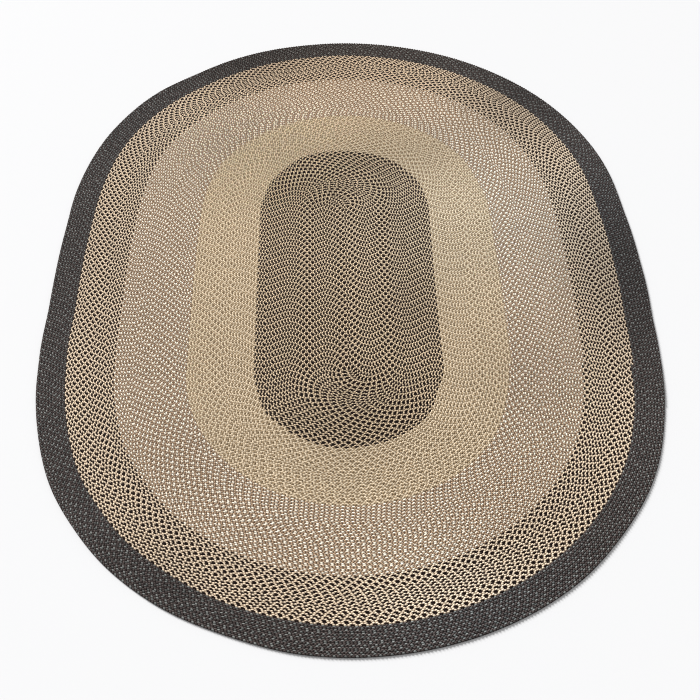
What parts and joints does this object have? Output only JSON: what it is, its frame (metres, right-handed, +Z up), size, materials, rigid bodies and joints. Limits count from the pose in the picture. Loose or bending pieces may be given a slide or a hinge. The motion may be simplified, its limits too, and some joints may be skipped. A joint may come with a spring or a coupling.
{
  "type": "oval braided rug",
  "caption": "Flat oval rug of three-strand braid sewn lap against lap, in nested colour runs with a dark border.",
  "frame": {"origin": "middle of the rug's outline, on the underside that lies on the floor", "axes": "+Y along the long way of the oval, +X across it, +Z up out of the top face"},
  "size_m": [2.4676, 3.36, 0.0095],
  "materials": {
    "black_khaki_braid": "matt jute braid, one black and two khaki tan strands",
    "golden_tan_braid": "matt jute braid, one darker and two lighter golden tan strands",
    "white_brown_tan_braid": "matt jute braid, one white and two brown tan strands",
    "black_cream_tan_braid": "matt jute braid, one black and two cream tan strands",
    "charcoal_braid": "matt jute braid, charcoal, one strand greyer"
  },
  "bodies": {
    "root": {"centre_braid": "black_khaki_braid", "tan_braid": "golden_tan_braid", "white_tan_braid": "white_brown_tan_braid", "black_tan_braid": "black_cream_tan_braid", "border_braid": "charcoal_braid"}
  },
  "joints": []
}
